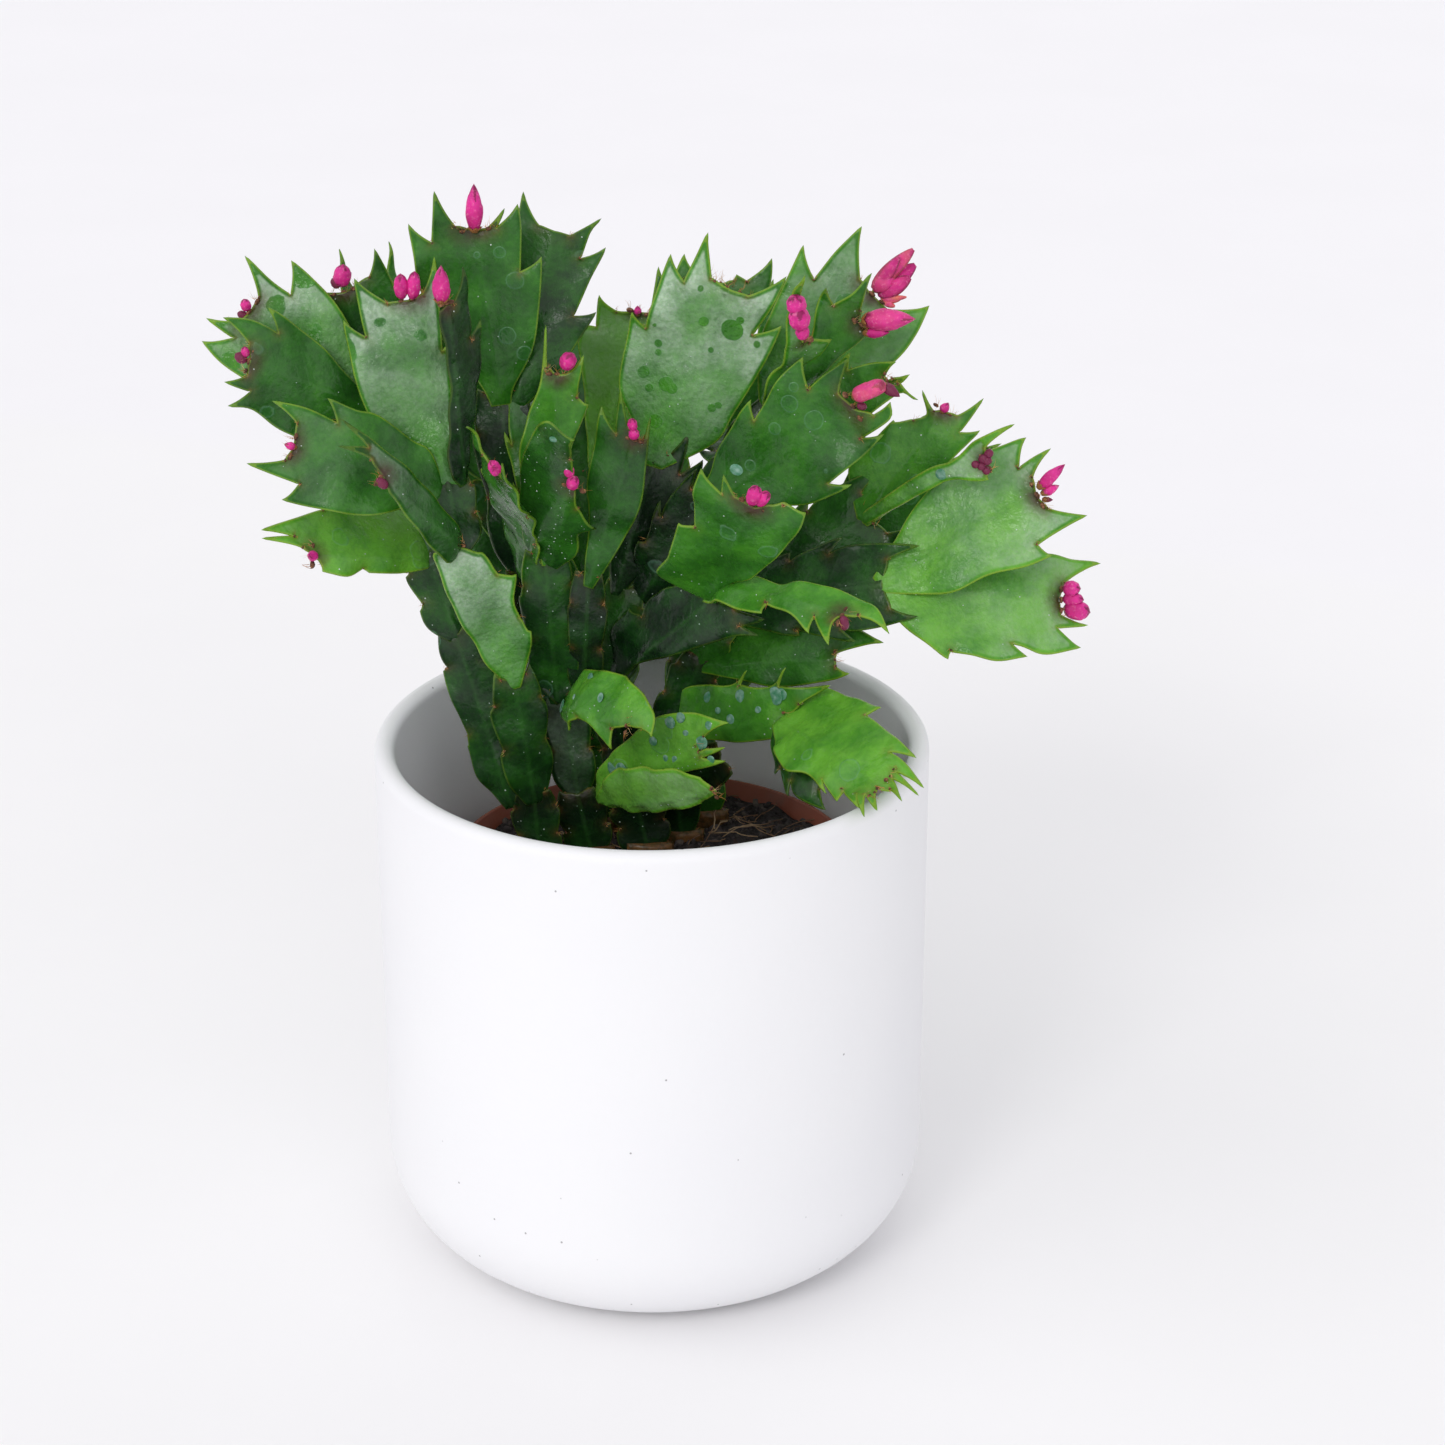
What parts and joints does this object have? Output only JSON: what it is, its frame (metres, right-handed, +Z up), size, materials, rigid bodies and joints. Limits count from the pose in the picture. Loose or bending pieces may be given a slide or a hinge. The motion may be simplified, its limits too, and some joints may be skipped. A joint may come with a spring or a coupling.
{
  "type": "potted thanksgiving cactus",
  "caption": "Holiday cactus with arching jointed stems of flat toothed pads and pink flower buds, in a nursery pot set inside a round white cover pot.",
  "frame": {"origin": "centre of the cover pot's flat underside", "axes": "+Z up, the front of the plant faces -Y, +X to its right as seen from the front"},
  "size_m": [0.2226, 0.1665, 0.2759],
  "materials": {
    "ceramic": "matt white glazed ceramic with a few dark pin specks",
    "nursery_plastic": "terracotta-brown thin plastic, satin",
    "peat": "dark brown crumbly peat with fibres",
    "cactus_green": "waxy green plant tissue, lighter when young, thin yellow-green margins",
    "bud_pink": "smooth magenta pink petals"
  },
  "bodies": {
    "root": {"buds_a10": "bud_pink", "buds_a11": "bud_pink", "buds_a14": "bud_pink", "buds_a16": "bud_pink", "buds_a4": "bud_pink", "buds_a6": "bud_pink", "buds_a7": "bud_pink", "buds_a8": "bud_pink", "buds_b10": "bud_pink", "buds_b11": "bud_pink", "buds_b13": "bud_pink", "buds_b4": "bud_pink", "buds_b6": "bud_pink", "buds_c11": "bud_pink", "buds_c13": "bud_pink", "buds_c14": "bud_pink", "buds_c15": "bud_pink", "buds_c4": "bud_pink", "buds_c5": "bud_pink", "buds_d10": "bud_pink", "buds_d11": "bud_pink", "buds_d12": "bud_pink", "buds_d13": "bud_pink", "buds_e12": "bud_pink", "buds_e13": "bud_pink", "buds_e5": "bud_pink", "buds_e9": "bud_pink", "buds_f10": "bud_pink", "buds_f5": "bud_pink", "buds_f9": "bud_pink", "cover_pot": "ceramic", "nursery_pot": "nursery_plastic", "soil": "peat", "stem_back_left": "cactus_green", "stem_back_right": "cactus_green", "stem_left": "cactus_green", "stem_mid_left": "cactus_green", "stem_middle": "cactus_green", "stem_right": "cactus_green"}
  },
  "joints": []
}
